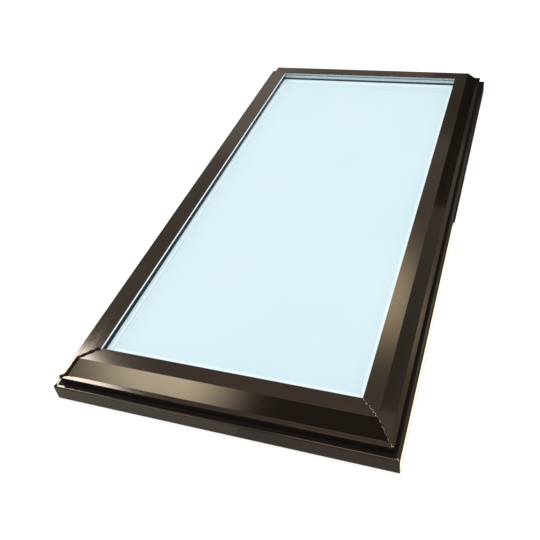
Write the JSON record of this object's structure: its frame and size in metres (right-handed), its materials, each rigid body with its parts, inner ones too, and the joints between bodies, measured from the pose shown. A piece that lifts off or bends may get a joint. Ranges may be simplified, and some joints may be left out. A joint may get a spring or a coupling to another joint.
{
  "type": "curb mount skylight",
  "caption": "Fixed curb mount skylight: a long sealed glass unit in a mitred dark bronze cap with a chamfered edge, over a skirted curb frame.",
  "frame": {"origin": "centre of the unit on plan, at the foot of the skirt", "axes": "+Y runs up the roof from the sill to the head, +X towards the right jamb seen from the sill, +Z out of the roof"},
  "size_m": [0.677, 1.335, 0.0811],
  "materials": {
    "cap_bronze": "satin dark bronze paint on extruded aluminium",
    "frame_bronze": "satin dark bronze paint on extruded aluminium",
    "glazing_bead": "matte light grey silicone",
    "pane_glass": "clear float with a pale blue cast",
    "spacer_metal": "mill finish",
    "edge_seal": "matte black sealant",
    "glazing_tape": "matte black butyl",
    "curb_foam": "matte black closed cell foam"
  },
  "bodies": {
    "root": {"cap_sill": "cap_bronze", "cap_right_jamb": "cap_bronze", "cap_head": "cap_bronze", "cap_left_jamb": "cap_bronze", "curb_frame_sill": "frame_bronze", "curb_frame_right_jamb": "frame_bronze", "curb_frame_head": "frame_bronze", "curb_frame_left_jamb": "frame_bronze", "glazing_bead_sill": "glazing_bead", "glazing_bead_right_jamb": "glazing_bead", "glazing_bead_head": "glazing_bead", "glazing_bead_left_jamb": "glazing_bead", "spacer_sill": "spacer_metal", "spacer_right_jamb": "spacer_metal", "spacer_head": "spacer_metal", "spacer_left_jamb": "spacer_metal", "edge_seal_sill": "edge_seal", "edge_seal_right_jamb": "edge_seal", "edge_seal_head": "edge_seal", "edge_seal_left_jamb": "edge_seal", "glazing_tape_sill": "glazing_tape", "glazing_tape_right_jamb": "glazing_tape", "glazing_tape_head": "glazing_tape", "glazing_tape_left_jamb": "glazing_tape", "curb_gasket_sill": "curb_foam", "curb_gasket_right_jamb": "curb_foam", "curb_gasket_head": "curb_foam", "curb_gasket_left_jamb": "curb_foam", "outer_pane": "pane_glass", "inner_pane": "pane_glass"}
  },
  "joints": []
}
